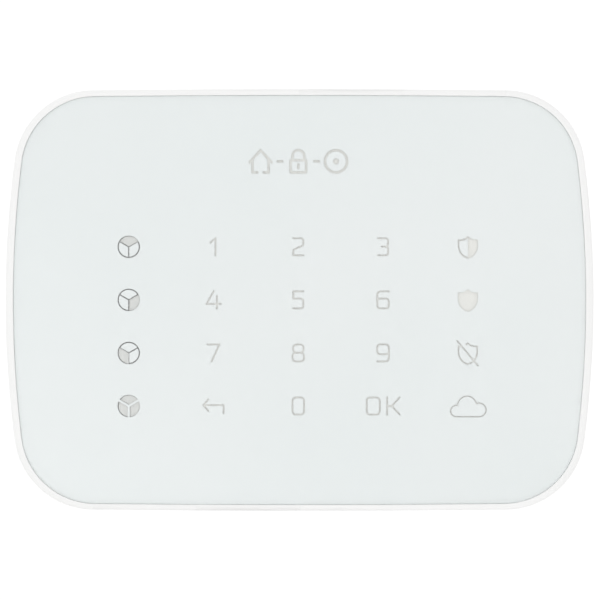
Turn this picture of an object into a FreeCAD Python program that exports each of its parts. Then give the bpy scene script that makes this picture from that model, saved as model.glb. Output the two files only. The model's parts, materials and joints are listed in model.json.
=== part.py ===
import FreeCAD, Part
import math
import os
from FreeCAD import Vector

# Alarm keypad panel: a battery-powered touch keypad that hangs on a wall bracket.
# Frame: X to the right as seen from the front, Z up, the wall is the plane y = 0, the front faces -Y.
# The origin is the centre of the wall plane. All lengths are in millimetres.
# "Front" always means the lower y of a layer and "back" the higher one.

# Outer shape
HALF_WIDTH = 67.5
HALF_HEIGHT = 48.4
DEPTH = 22.0
CORNER_RADIUS = 18.25
SIDE_BULGE_RADIUS = 247.0
TOP_BULGE_RADIUS = 4430.0
FRONT_EDGE_RADIUS = 1.4
BACK_EDGE_RADIUS = 5.5

# Shells
WALL = 2.0
FRONT_Y = -DEPTH
SEAM_Y = -9.0
SEAM_GAP = 0.3
BACK_Y = -0.8
POCKET_FLOOR_Y = -2.6
BACK_WALL_INNER_Y = -4.2
POCKET_INSET = 8.0
LIP_DEPTH = 2.0
LIP_THICKNESS = 1.0
LIP_GAP = 0.1
SHELF_INSET = 7.0
SHELF_THICKNESS = 1.5

# Front plate and the groove round it
PANEL_HALF_WIDTH = 65.65
PANEL_HALF_HEIGHT = 46.93
PANEL_CORNER_RADIUS = 17.1
PANEL_SIDE_RADIUS = 261.0
PANEL_TOP_RADIUS = 4430.0
GROOVE = 0.035
LENS_FRONT_Y = FRONT_Y + 0.05
LENS_THICKNESS = 0.6
LENS_CHAMFER = 0.14
BEZEL_CHAMFER = 0.14

# Layers behind the front plate
FILM_FRONT_Y = -21.32
FILM_THICKNESS = 0.2
FILM_INSET = 0.04
SHELF_FRONT_Y = -20.7
ADHESIVE_WIDTH = 4.6
KEY_DIFFUSER_FRONT_Y = -20.96
KEY_DIFFUSER_THICKNESS = 0.25
GROUP_DIFFUSER_FRONT_Y = -20.1
GROUP_DIFFUSER_THICKNESS = 0.25
GRID_FRONT_Y = -20.62
GRID_PLATE_THICKNESS = 1.1
GRID_WALL = 1.0
BOARD_FRONT_Y = -16.1
BOARD_THICKNESS = 1.2
BOARD_BACK_Y = BOARD_FRONT_Y + BOARD_THICKNESS
BOARD_INSET = 4.0
LAYER_GAP = 0.05

# Keys: five columns by four rows, and the status mark above them
KEY_CENTRE_X = -0.29
KEY_PITCH_X = 19.44
KEY_PITCH_Z = 12.17
TOP_ROW_Z = 12.2
COLUMN_X = [KEY_CENTRE_X + (column - 2) * KEY_PITCH_X for column in range(5)]
ROW_Z = [TOP_ROW_Z - row * KEY_PITCH_Z for row in range(4)]
CELL_WIDTH = 13.0
CELL_HEIGHT = 8.6
GUIDE_GAP = 0.1
MARK_X = KEY_CENTRE_X
MARK_Z = 31.8
MARK_LAMP_X = [MARK_X - 8.0, MARK_X, MARK_X + 8.0]
MARK_WIDTH = 23.0
MARK_HEIGHT = 5.7
MARK_CELL_WIDTH = 26.0
GRID_HALF_WIDTH = 48.4
GRID_BOTTOM_Z = -30.8
GRID_TOP_Z = 37.8
GROUP_POCKET_WIDTH = 16.4
GROUP_FILLED_DEG = [90, 330, 210]
ALL_SECTORS_DEG = [90, 210, 330]
ISLAND_CLEARANCE = 0.1
ISLAND_SHIFT_X = 0.07
PIN_X = 44.0
PIN_Z = 24.5
PIN_RADIUS = 1.6
PIN_TIP_RADIUS = 0.9
LAMP_POCKET_WIDTH = 4.4
LAMP_POCKET_HEIGHT = 2.0
LAMP_POCKET_DEPTH = 0.8
LAMP_LENGTH = 1.6
LAMP_WIDTH = 0.8
LAMP_BODY_LENGTH = 1.1
LAMP_BASE_HEIGHT = 0.25
LAMP_HEIGHT = 0.55
PAD_WIDTH = 11.6
PAD_HEIGHT = 7.4
PAD_THICKNESS = 0.07

# Symbols, all drawn with lines of these widths
DIGIT_HALF_WIDTH = 1.33
NARROW_HALF_WIDTH = 1.14
DIGIT_HALF_HEIGHT = 1.95
DIGIT_STROKE = 0.42
DIGIT_CORNER = 0.8
GROUP_RADIUS = 2.56
GROUP_STROKE = 0.26
GROUP_GAP = 0.48
MODE_DROP = 0.13
SHIELD_HALF_WIDTH = 2.32
SHIELD_HALF_HEIGHT = 2.6
SHIELD_STROKE = 0.38
CLOUD_STROKE = 0.3
MARK_STROKE = 0.62

# Battery bay: four cells side by side, each lying along X
CELL_RADIUS = 5.25
CELL_LENGTH = 44.5
CELL_PITCH = 10.9
CELL_CENTRE_Y = -8.05
CELL_NUB_RADIUS = 1.9
CELL_NUB_LENGTH = 0.8
SLEEVE_THICKNESS = 0.1
BAY_HALF_WIDTH = 25.0
BAY_HALF_HEIGHT = 21.9
BAY_WALL = 1.2
BAY_FRONT_Y = -14.7
CONTACT_THICKNESS = 0.4
CONTACT_CLEARANCE = 0.05
CONTACT_HEIGHT = 8.0

# Screws
TOWER_X = 52.0
TOWER_Z = 36.0
BOARD_NOTCH_X = 48.5
BOARD_NOTCH_Z = 31.5
TOWER_RADIUS = 3.2
TOWER_BACK_Y = -10.0
CORNER_BLOCK = 20.0
COLUMN_RADIUS = 3.6
THREAD_GAP = 0.05
HOUSING_HOLE_END_Y = -17.0
HOUSING_SCREW_RADIUS = 1.25
HOUSING_SCREW_HEAD_RADIUS = 2.7
HOUSING_SCREW_HEAD_HEIGHT = 1.8
HOUSING_SCREW_SEAT_Y = -4.9
HOUSING_SCREW_LENGTH = 10.0
BOSS_PLACES = [(-59.0, 20.0), (-59.0, -20.0), (59.0, 20.0), (59.0, -20.0), (0.0, 41.3), (0.0, -41.3)]
BOSS_RADIUS = 2.6
BOARD_SCREW_RADIUS = 1.0
BOARD_SCREW_HEAD_RADIUS = 1.9
BOARD_SCREW_HEAD_HEIGHT = 1.3
BOARD_SCREW_LENGTH = 3.8
BOARD_HOLE_END_Y = -19.5

# Wall bracket and its hooks
BRACKET_HALF_WIDTH = 59.0
BRACKET_HALF_HEIGHT = 36.4
BRACKET_CENTRE_Z = 3.6
BRACKET_CORNER_RADIUS = 9.75
BRACKET_THICKNESS = 2.2
BRACKET_HOLE_RADIUS = 2.2
BRACKET_HOLE_SPACING_X = 92.0
BRACKET_HOLE_SPACING_Z = 58.0
COUNTERSINK_RADIUS = 4.1
COUNTERSINK_DEPTH = 1.2
RELIEF_X = [-26.0, -9.5, 9.5, 26.0]
RELIEF_ROW_PITCH = 22.0
RELIEF_WIDTH = 14.0
RELIEF_HEIGHT = 19.0
RELIEF_DEPTH = 0.7
RELIEF_CORNER = 2.0
HOOK_X = 36.0
HOOK_BASE_Z = [22.0, -22.0]
HOOK_WIDTH = 8.0
HOOK_NECK_HEIGHT = 2.5
HOOK_TONGUE_HEIGHT = 5.5
HOOK_TONGUE_THICKNESS = 1.4
HOOK_PLAY = 0.3
SLIDE_TRAVEL = 6.0

# Tamper pin (left) and power button (right), seen from the front
TAMPER_X = -37.0
TAMPER_Z = 0.0
TAMPER_PIN_RADIUS = 1.5
TAMPER_FLANGE_RADIUS = 2.6
TAMPER_FLANGE_BACK_Y = -5.8
TAMPER_FLANGE_THICKNESS = 0.8
TAMPER_INNER_END_Y = -9.9
TAMPER_SLOT_HALF_WIDTH = 2.2
BUTTON_X = 37.0
BUTTON_Z = 0.0
BUTTON_RADIUS = 2.4
BUTTON_BACK_Y = -3.0
BUTTON_FLANGE_RADIUS = 3.3
BUTTON_FLANGE_THICKNESS = 0.8
BUTTON_STEM_RADIUS = 1.4
BUTTON_INNER_END_Y = -10.3
SWITCH_SIZE = 6.0
TAMPER_SWITCH_HEIGHT = 4.0

# Larger parts on the back of the board: (x, z) of each centre, and main sizes
TOUCH_CHIP = (-48.0, -12.0)
CONTROL_CHIP = (48.0, 13.0)
RADIO = (-31.0, 34.5)
RADIO_BOARD_THICKNESS = 0.8
RADIO_SHIELD_HEIGHT = 1.7
RADIO_SHIELD_WALL = 0.2
ANTENNA_LOW_X = -18.0
ANTENNA_HIGH_X = 8.0
ANTENNA_Z = 35.0
ANTENNA_OUTER_RADIUS = 2.2
ANTENNA_INNER_RADIUS = 1.5
CRYSTAL = (44.5, 22.5)
REGULATOR = (-34.0, -34.0)
BUZZER = (37.0, -34.0)
BUZZER_RADIUS = 6.0
BUZZER_HEIGHT = 5.0
SOUNDER_SLOT_PITCH = 3.0

BACK_NORMAL = Vector(0, 1, 0)
FOUR_CORNERS = [(1, 1), (-1, 1), (-1, -1), (1, -1)]


# ---- basic shapes -----------------------------------------------------------------------------

def plate(x, z, width, height, front_y, back_y):
    """A rectangular block centred on (x, z) as seen from the front."""
    low_corner = Vector(x - width / 2, front_y, z - height / 2)
    return Part.makeBox(width, back_y - front_y, height, low_corner)


def rod(x, z, radius, front_y, back_y):
    """A cylinder along Y."""
    return Part.makeCylinder(radius, back_y - front_y, Vector(x, front_y, z), BACK_NORMAL)


def tube(x, z, outer_radius, inner_radius, front_y, back_y):
    """A hollow cylinder along Y."""
    return rod(x, z, outer_radius, front_y, back_y).cut(rod(x, z, inner_radius, front_y, back_y))


def rod_along_x(low_x, high_x, y, z, radius):
    """A cylinder along X."""
    return Part.makeCylinder(radius, high_x - low_x, Vector(low_x, y, z), Vector(1, 0, 0))


def join(shapes):
    """One shape from several that overlap or touch."""
    return shapes[0].fuse(shapes[1:]).removeSplitter()


def prism(wire, back_y):
    """The solid between a closed wire and its copy at back_y."""
    front_y = wire.BoundBox.YMin
    return Part.Face(wire).extrude(Vector(0, back_y - front_y, 0))


def rounded_wire(points, radii, y, closed=False):
    """Straight runs through (x, z) points, with an arc of the given radius at each turn."""
    corners = [Vector(x, y, z) for x, z in points]
    count = len(corners)
    turns = []
    for index, corner in enumerate(corners):
        radius = radii[index]
        at_end = not closed and index in (0, count - 1)
        if at_end or radius == 0:
            turns.append((corner, None, corner))
            continue
        towards_last = (corners[index - 1] - corner).normalize()
        towards_next = (corners[(index + 1) % count] - corner).normalize()
        half_angle = towards_last.getAngle(towards_next) / 2
        inward = (towards_last + towards_next).normalize()
        reach = radius / math.tan(half_angle)
        middle = corner + inward * (radius / math.sin(half_angle) - radius)
        turns.append((corner + towards_last * reach, middle, corner + towards_next * reach))
    edges = []
    for index, (start, middle, end) in enumerate(turns):
        if middle:
            edges.append(Part.Arc(start, middle, end).toShape())
        last = not closed and index == count - 1
        next_start = turns[(index + 1) % count][0]
        if not last and (next_start - end).Length > 1e-6:
            edges.append(Part.LineSegment(end, next_start).toShape())
    return Part.Wire(edges)


def edges_at(shape, y):
    """Every edge that lies in the plane at y."""
    found = []
    for edge in shape.Edges:
        box = edge.BoundBox
        if abs(box.YMin - y) < 1e-4 and abs(box.YMax - y) < 1e-4:
            found.append(edge)
    return found


def lies_on(edge, wire):
    """True where an edge's middle is on the wire."""
    middle = edge.valueAt((edge.FirstParameter + edge.LastParameter) / 2)
    return wire.distToShape(Part.Vertex(middle))[0] < 1e-3


class Outline:
    """A rounded rectangle whose sides bulge: four long side arcs and four corner arcs, all tangent."""

    def __init__(self, half_width, half_height, corner, side_radius, top_radius):
        self.half_width = half_width
        self.half_height = half_height
        self.corner = corner
        self.side_radius = side_radius
        self.top_radius = top_radius

    def inset(self, distance):
        """The outline that lies everywhere the same distance inside this one."""
        return Outline(
            self.half_width - distance,
            self.half_height - distance,
            self.corner - distance,
            self.side_radius - distance,
            self.top_radius - distance,
        )

    def corner_centre(self):
        """The corner arc's centre, where its distances to both neighbours' centres are right."""
        side_centre = Vector(self.half_width - self.side_radius, 0, 0)
        top_centre = Vector(0, 0, self.half_height - self.top_radius)
        from_side = self.side_radius - self.corner
        from_top = self.top_radius - self.corner
        between = top_centre - side_centre
        span = between.Length
        along = (from_side ** 2 - from_top ** 2 + span ** 2) / (2 * span)
        across = math.sqrt(from_side ** 2 - along ** 2)
        unit = between * (1 / span)
        return side_centre + unit * along + Vector(-unit.z, 0, unit.x) * across

    def wire(self, y):
        side_centre = Vector(self.half_width - self.side_radius, 0, 0)
        top_centre = Vector(0, 0, self.half_height - self.top_radius)
        centre = self.corner_centre()
        side_end = side_centre + (centre - side_centre).normalize() * self.side_radius
        top_end = top_centre + (centre - top_centre).normalize() * self.top_radius
        outward = (side_end + top_end - centre * 2).normalize()
        middle = centre + outward * self.corner

        def place(point, sign_x, sign_z):
            return Vector(point.x * sign_x, y, point.z * sign_z)

        edges = []
        for sign_x, sign_z in FOUR_CORNERS:
            ends = [place(point, sign_x, sign_z) for point in (side_end, middle, top_end)]
            edges.append(Part.Arc(*ends).toShape())
        for sign in (1, -1):
            crown = Vector(0, y, self.half_height * sign)
            edges.append(Part.Arc(place(top_end, -1, sign), crown, place(top_end, 1, sign)).toShape())
            flank = Vector(self.half_width * sign, y, 0)
            edges.append(Part.Arc(place(side_end, sign, -1), flank, place(side_end, sign, 1)).toShape())
        return Part.Wire(Part.sortEdges(edges)[0])

    def solid(self, front_y, back_y):
        return prism(self.wire(front_y), back_y)


OUTER = Outline(HALF_WIDTH, HALF_HEIGHT, CORNER_RADIUS, SIDE_BULGE_RADIUS, TOP_BULGE_RADIUS)
PANEL = Outline(
    PANEL_HALF_WIDTH, PANEL_HALF_HEIGHT, PANEL_CORNER_RADIUS, PANEL_SIDE_RADIUS, PANEL_TOP_RADIUS
)
CAVITY = OUTER.inset(WALL)


# ---- symbols: each is a list of solids that cut a window through the printed film ---------------

CUT_FRONT_Y = FILM_FRONT_Y - 0.1
CUT_BACK_Y = FILM_FRONT_Y + FILM_THICKNESS + 0.1


def bar_wire(start, end, width):
    """A closed wire round one straight bar with round ends."""
    half = width / 2
    length = math.dist(start, end)
    along_x = (end[0] - start[0]) / length * half
    along_z = (end[1] - start[1]) / length * half
    corners = [
        (start[0] - along_x - along_z, start[1] - along_z + along_x),
        (start[0] - along_x + along_z, start[1] - along_z - along_x),
        (end[0] + along_x + along_z, end[1] + along_z - along_x),
        (end[0] + along_x - along_z, end[1] + along_z + along_x),
    ]
    return rounded_wire(corners, [0.98 * half] * 4, CUT_FRONT_Y, closed=True)


def line(points, width, radii=None):
    """A line of even width through the points, with round ends."""
    if len(points) == 2:
        return prism(bar_wire(points[0], points[1], width), CUT_BACK_Y)
    path = rounded_wire(points, radii or [0] * len(points), CUT_FRONT_Y)
    return prism(path.makeOffset2D(width / 2, 0, False, False), CUT_BACK_Y)


def band(wire, width):
    """A closed line of even width that lies just inside a closed wire."""
    return prism(wire, CUT_BACK_Y).cut(prism(wire.makeOffset2D(-width, 2, False, False), CUT_BACK_Y))


def loop(x, low_z, high_z, half_width, corner, width):
    """A rounded rectangular loop; its size is measured on the middle of the line."""
    grown = half_width + width / 2
    low = low_z - width / 2
    high = high_z + width / 2
    points = [(x - grown, low), (x + grown, low), (x + grown, high), (x - grown, high)]
    return band(rounded_wire(points, [corner + width / 2] * 4, CUT_FRONT_Y, closed=True), width)


def digit_lines(number):
    """The windows of one digit, centred on the origin."""
    wide = DIGIT_HALF_WIDTH
    high = DIGIT_HALF_HEIGHT
    turn = DIGIT_CORNER
    slim = NARROW_HALF_WIDTH

    def stroke(points, radii=None):
        return line(points, DIGIT_STROKE, radii)

    if number == 0:
        return [loop(0, -high, high, wide, turn, DIGIT_STROKE)]
    if number == 1:
        return [stroke([(-0.7, high - 1.0), (0.45, high), (0.45, -high)])]
    if number == 2:
        run = [(-slim, high), (slim, high), (slim, 0.35), (-slim, -0.7), (-slim, -high), (slim, -high)]
        return [stroke(run, [0, 0.55, 0.5, 0.4, 0, 0])]
    if number == 3:
        upper = [(-slim, high), (slim, high), (slim, 0.05), (-0.3, 0.05)]
        lower = [(-0.3, 0.05), (slim, 0.05), (slim, -high), (-slim, -high)]
        return [stroke(upper, [0, 0.6, 0.55, 0]), stroke(lower, [0, 0.55, 0.6, 0])]
    if number == 4:
        arm = [(0.05, high), (-1.62, -0.93), (1.66, -0.93)]
        return [stroke(arm), stroke([(0.78, 0.85), (0.78, -high)])]
    if number == 5:
        run = [(slim, high), (-slim, high), (-slim, 0.3), (slim, 0.3), (slim, -high), (-slim, -high)]
        return [stroke(run, [0, 0, 0, 0.6, 0.6, 0])]
    if number == 6:
        hook = [(wide, high), (-wide, high), (-wide, -0.8)]
        return [loop(0, -high, 0.3, wide, 0.7, DIGIT_STROKE), stroke(hook, [0, turn, 0])]
    if number == 7:
        return [stroke([(-1.35, high), (1.35, high), (-0.45, -high)])]
    if number == 8:
        upper = loop(0, 0.05, high, wide - 0.12, 0.85, DIGIT_STROKE)
        return [upper, loop(0, -high, 0.05, wide, 0.85, DIGIT_STROKE)]
    hook = [(-wide, -high), (wide, -high), (wide, 0.8)]
    return [loop(0, -0.3, high, wide, 0.7, DIGIT_STROKE), stroke(hook, [0, turn, 0])]


def ok_lines():
    """The two letters of the confirm key."""
    high = DIGIT_HALF_HEIGHT
    return [
        loop(-2.25, -high, high, 1.5, DIGIT_CORNER, DIGIT_STROKE),
        line([(0.93, -high), (0.93, high)], DIGIT_STROKE),
        line([(0.93, 0), (2.0, 0)], DIGIT_STROKE),
        line([(3.8, high), (2.0, 0), (3.8, -high)], DIGIT_STROKE),
    ]


def back_arrow_lines():
    """An arrow to the left whose tail turns down."""
    head = line([(-1.2, 1.5), (-2.35, 0.2), (-1.2, -1.1)], DIGIT_STROKE)
    tail = line([(-2.35, 0.2), (2.3, 0.2), (2.3, -1.65)], DIGIT_STROKE)
    return [head, tail]


def sector(middle_deg, radius, gap, front_y=CUT_FRONT_Y, back_y=CUT_BACK_Y):
    """A third of a disc about middle_deg, kept half of gap clear of the lines between the thirds."""
    disc = rod(0, 0, radius, front_y, back_y)
    start = math.radians(middle_deg - 60)
    end = math.radians(middle_deg + 60)
    middle = math.radians(middle_deg)
    apex_reach = gap / 2 / math.sin(math.radians(60))
    apex = Vector(apex_reach * math.cos(middle), front_y, apex_reach * math.sin(middle))
    far = 2 * radius
    corners = [
        apex,
        apex + Vector(far * math.cos(start), 0, far * math.sin(start)),
        apex + Vector(far * math.cos(middle), 0, far * math.sin(middle)),
        apex + Vector(far * math.cos(end), 0, far * math.sin(end)),
        apex,
    ]
    return disc.common(prism(Part.makePolygon(corners), back_y))


def group_lines(filled_deg):
    """A circle in three sectors, one of them open, for one group of zones."""
    ring = rod(0, 0, GROUP_RADIUS, CUT_FRONT_Y, CUT_BACK_Y)
    ring = ring.cut(rod(0, 0, GROUP_RADIUS - GROUP_STROKE, CUT_FRONT_Y, CUT_BACK_Y))
    windows = [ring, sector(filled_deg, GROUP_RADIUS, 0)]
    spoke_end = GROUP_RADIUS - GROUP_STROKE / 2
    for middle_deg in ALL_SECTORS_DEG:
        angle = math.radians(middle_deg + 60)
        tip = (spoke_end * math.cos(angle), spoke_end * math.sin(angle))
        windows.append(line([(0, 0), tip], GROUP_STROKE))
    return windows


def all_groups_lines():
    """The same circle with all three sectors open, parted by three bars."""
    return [sector(middle_deg, GROUP_RADIUS, GROUP_GAP) for middle_deg in ALL_SECTORS_DEG]


def shield_wire():
    """A shield: a small peak, two hollow shoulders, straight flanks and two arcs that meet in a point."""
    y = CUT_FRONT_Y
    wide = SHIELD_HALF_WIDTH
    high = SHIELD_HALF_HEIGHT
    shoulder = high - 0.78
    flank_end = 0.15
    peak = Vector(0, y, high)
    point = Vector(0, y, -high)
    edges = []
    for sign in (1, -1):
        top = Vector(wide * sign, y, shoulder)
        low = Vector(wide * sign, y, flank_end)
        hollow = Vector(0.45 * wide * sign, y, shoulder + 0.12)
        belly = Vector(0.72 * wide * sign, y, -0.6 * high)
        edges.append(Part.Arc(peak, hollow, top).toShape())
        edges.append(Part.LineSegment(top, low).toShape())
        edges.append(Part.Arc(low, belly, point).toShape())
    return Part.Wire(Part.sortEdges(edges)[0])


def full_shield_lines():
    return [prism(shield_wire(), CUT_BACK_Y)]


def half_shield_lines():
    """A shield's outline with its right half open."""
    right_side = plate(10, 0, 20, 20, CUT_FRONT_Y, CUT_BACK_Y)
    return [band(shield_wire(), SHIELD_STROKE), prism(shield_wire(), CUT_BACK_Y).common(right_side)]


def crossed_shield_lines():
    """A shield's outline with a slanted bar across it, and a break where the bar enters."""
    bar = [(-2.45, 2.9), (2.3, -2.75)]
    outline = band(shield_wire(), SHIELD_STROKE)
    clearance = line([(-2.1, 3.2), (0.6, 0.0)], 1.0)
    return [outline.cut(clearance), line(bar, SHIELD_STROKE)]


def cloud_lines():
    """A cloud's outline: three round lobes on a flat base."""
    lobes = [(-2.64, -1.02, 1.3), (2.62, -0.76, 1.56), (-0.16, 0.2, 2.19)]
    base_z = -2.32

    def body(shrink):
        low = base_z + shrink
        parts = [rod(x, z, radius - shrink, CUT_FRONT_Y, CUT_BACK_Y) for x, z, radius in lobes]
        left = lobes[0][0]
        right = lobes[1][0]
        filler = plate((left + right) / 2, low / 2, right - left, -low, CUT_FRONT_Y, CUT_BACK_Y)
        return join(parts + [filler])

    return [body(-CLOUD_STROKE / 2).cut(body(CLOUD_STROKE / 2))]


def padlock_lines():
    """A padlock's outline with its keyhole, as tall as the mark."""
    half_body = 2.1
    body_top = 0.55
    low = -MARK_HEIGHT / 2
    corners = [(-half_body, low), (half_body, low), (half_body, body_top), (-half_body, body_top)]
    body = rounded_wire(corners, [0.5] * 4, CUT_FRONT_Y, closed=True)
    high = MARK_HEIGHT / 2 - MARK_STROKE / 2
    shackle = [(-1.35, body_top - 0.2), (-1.35, high), (1.35, high), (1.35, body_top - 0.2)]
    windows = [band(body, MARK_STROKE), line(shackle, MARK_STROKE, [0, 1.3, 1.3, 0])]
    return windows + [line([(0, -0.75), (0, -1.5)], MARK_STROKE)]


def house_lines():
    """A plain house: walls under a pitched roof, with a gap for its door."""
    low = -MARK_HEIGHT / 2 + MARK_STROKE / 2
    roof = MARK_HEIGHT / 2 - MARK_STROKE / 2
    wall = 1.85
    eaves = 0.35
    walls = [(-0.75, low), (-wall, low), (-wall, eaves - 0.1)]
    other = [(-x, z) for x, z in walls]
    pitch = [(-wall - 0.65, eaves - 0.55), (0, roof), (wall + 0.65, eaves - 0.55)]
    return [line(walls, MARK_STROKE), line(other, MARK_STROKE), line(pitch, MARK_STROKE)]


def sensor_lines():
    """A round sensor: a ring about a dot."""
    outer = MARK_HEIGHT / 2
    ring = tube(0, 0, outer, outer - MARK_STROKE, CUT_FRONT_Y, CUT_BACK_Y)
    return [ring, rod(0, 0, 0.7, CUT_FRONT_Y, CUT_BACK_Y)]


def mark_lines():
    """A plain status mark: a house, a padlock and a sensor with a dash between each two."""
    reach = MARK_WIDTH / 2 - MARK_HEIGHT / 2
    windows = padlock_lines()
    windows += [window.translated(Vector(-reach, 0, 0)) for window in house_lines()]
    windows += [window.translated(Vector(reach, 0, 0)) for window in sensor_lines()]
    for sign in (1, -1):
        windows.append(line([(sign * 3.7, 0), (sign * 4.7, 0)], MARK_STROKE))
    return windows


def key_symbols():
    """Every window of the film with the place of its centre: columns from left to right."""
    columns = [
        [group_lines(filled_deg) for filled_deg in GROUP_FILLED_DEG] + [all_groups_lines()],
        [digit_lines(1), digit_lines(4), digit_lines(7), back_arrow_lines()],
        [digit_lines(2), digit_lines(5), digit_lines(8), digit_lines(0)],
        [digit_lines(3), digit_lines(6), digit_lines(9), ok_lines()],
        [half_shield_lines(), full_shield_lines(), crossed_shield_lines(), cloud_lines()],
    ]
    placed = []
    for x, column in zip(COLUMN_X, columns):
        drop = MODE_DROP if x == COLUMN_X[-1] else 0
        for z, windows in zip(ROW_Z, column):
            placed += [window.translated(Vector(x, 0, z - drop)) for window in windows]
    placed += [window.translated(Vector(MARK_X, 0, MARK_Z)) for window in mark_lines()]
    return placed


# ---- front shell and the layers of the panel ----------------------------------------------------

def corner_blocks(front_y, back_y):
    """The four square regions beyond the board's notches."""
    half = CORNER_BLOCK / 2
    return [
        plate(
            sign_x * (BOARD_NOTCH_X + half),
            sign_z * (BOARD_NOTCH_Z + half),
            CORNER_BLOCK,
            CORNER_BLOCK,
            front_y,
            back_y,
        )
        for sign_x, sign_z in FOUR_CORNERS
    ]


def corner_webs():
    """Flat webs that fill the shelf's corners and carry the screw towers."""
    back = SHELF_FRONT_Y + SHELF_THICKNESS
    inner = CAVITY.solid(SHELF_FRONT_Y, back)
    return [inner.common(block) for block in corner_blocks(SHELF_FRONT_Y, back)]


def at_towers(radius, front_y, back_y):
    """A rod of the same size at each of the four housing screws."""
    return [
        rod(sign_x * TOWER_X, sign_z * TOWER_Z, radius, front_y, back_y)
        for sign_x, sign_z in FOUR_CORNERS
    ]


def front_housing():
    seam = SEAM_Y - SEAM_GAP / 2
    shelf_back = SHELF_FRONT_Y + SHELF_THICKNESS
    shell = OUTER.solid(FRONT_Y, seam)
    shell = shell.makeFillet(FRONT_EDGE_RADIUS, edges_at(shell, FRONT_Y))
    opening = PANEL.inset(-GROOVE / 2)
    shell = shell.cut(opening.solid(FRONT_Y - 1, SHELF_FRONT_Y))
    shell = shell.cut(OUTER.inset(SHELF_INSET).solid(SHELF_FRONT_Y - 1, shelf_back + 1))
    shell = shell.cut(CAVITY.solid(shelf_back, seam + 1))
    rim = opening.wire(FRONT_Y)
    inner_rim = [edge for edge in edges_at(shell, FRONT_Y) if lies_on(edge, rim)]
    shell = shell.makeChamfer(BEZEL_CHAMFER, inner_rim)
    towers = at_towers(TOWER_RADIUS, SHELF_FRONT_Y, TOWER_BACK_Y)
    bosses = [rod(x, z, BOSS_RADIUS, SHELF_FRONT_Y, BOARD_FRONT_Y) for x, z in BOSS_PLACES]
    shell = join([shell] + corner_webs() + towers + bosses)
    holes = at_towers(HOUSING_SCREW_RADIUS + THREAD_GAP, HOUSING_HOLE_END_Y, TOWER_BACK_Y)
    holes += [
        rod(x, z, BOARD_SCREW_RADIUS + THREAD_GAP, BOARD_HOLE_END_Y, BOARD_FRONT_Y) for x, z in BOSS_PLACES
    ]
    return shell.cut(holes)


def touch_lens():
    lens = PANEL.inset(GROOVE / 2).solid(LENS_FRONT_Y, LENS_FRONT_Y + LENS_THICKNESS)
    return lens.makeChamfer(LENS_CHAMFER, edges_at(lens, LENS_FRONT_Y))


def legend_film():
    film = PANEL.inset(FILM_INSET).solid(FILM_FRONT_Y, FILM_FRONT_Y + FILM_THICKNESS)
    return film.cut(key_symbols())


def lens_adhesive():
    back = SHELF_FRONT_Y
    front = FILM_FRONT_Y + FILM_THICKNESS
    ring = PANEL.inset(FILM_INSET).solid(front, back)
    return ring.cut(PANEL.inset(FILM_INSET + ADHESIVE_WIDTH).solid(front, back))


def group_column_block(width, front_y, back_y):
    """A block over the whole left column of keys."""
    height = 3 * KEY_PITCH_Z + CELL_HEIGHT + 2 * GRID_WALL + (width - GROUP_POCKET_WIDTH)
    return plate(COLUMN_X[0], (ROW_Z[0] + ROW_Z[-1]) / 2, width, height, front_y, back_y)


def grid_plate(shrink, front_y, back_y):
    """A plate over the whole light grid."""
    width = 2 * (GRID_HALF_WIDTH - shrink)
    height = GRID_TOP_Z - GRID_BOTTOM_Z - 2 * shrink
    return plate(0, (GRID_TOP_Z + GRID_BOTTOM_Z) / 2, width, height, front_y, back_y)


def key_diffuser():
    front = KEY_DIFFUSER_FRONT_Y
    back = front + KEY_DIFFUSER_THICKNESS
    sheet = grid_plate(0.2, front, back)
    return sheet.cut(group_column_block(GROUP_POCKET_WIDTH, front - 1, back + 1))


def sector_islands(front_y, back_y):
    """Raised pads that stand just behind the open sectors of the area keys."""
    radius = GROUP_RADIUS - ISLAND_CLEARANCE
    islands = []
    for z, filled_deg in zip(ROW_Z, GROUP_FILLED_DEG):
        pad = sector(filled_deg, radius, ISLAND_CLEARANCE, front_y, back_y)
        islands.append(pad.translated(Vector(COLUMN_X[0] + ISLAND_SHIFT_X, 0, z)))
    for middle_deg in ALL_SECTORS_DEG:
        pad = sector(middle_deg, radius, GROUP_GAP, front_y, back_y)
        islands.append(pad.translated(Vector(COLUMN_X[0] + ISLAND_SHIFT_X, 0, ROW_Z[-1])))
    return islands


def group_diffuser():
    front = GROUP_DIFFUSER_FRONT_Y
    sheet = group_column_block(GROUP_POCKET_WIDTH - 0.4, front, front + GROUP_DIFFUSER_THICKNESS)
    return join([sheet] + sector_islands(KEY_DIFFUSER_FRONT_Y, front))


def light_cells(grow, front_y, back_y):
    """One block for each key and one for the mark; grow widens each on every side."""
    blocks = []
    for x in COLUMN_X:
        for z in ROW_Z:
            blocks.append(plate(x, z, CELL_WIDTH + 2 * grow, CELL_HEIGHT + 2 * grow, front_y, back_y))
    blocks.append(plate(MARK_X, MARK_Z, MARK_CELL_WIDTH + 2 * grow, CELL_HEIGHT + 2 * grow, front_y, back_y))
    return blocks


def light_frame():
    front = GRID_FRONT_Y
    back = BOARD_FRONT_Y - LAYER_GAP
    pocket_floor = GROUP_DIFFUSER_FRONT_Y + GROUP_DIFFUSER_THICKNESS
    sheet = grid_plate(0, front, front + GRID_PLATE_THICKNESS)
    frame = join([sheet] + light_cells(GRID_WALL, front, back))
    frame = frame.cut(group_column_block(GROUP_POCKET_WIDTH, front - 1, pocket_floor))
    frame = frame.cut(light_cells(0, front - 1, back + 1))
    pins = []
    for x in (-PIN_X, PIN_X):
        pins.append(rod(x, PIN_Z, PIN_RADIUS, front + GRID_PLATE_THICKNESS, back))
        pins.append(rod(x, PIN_Z, PIN_TIP_RADIUS, back, BOARD_BACK_Y - 0.3))
    return join([frame] + pins)


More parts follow.
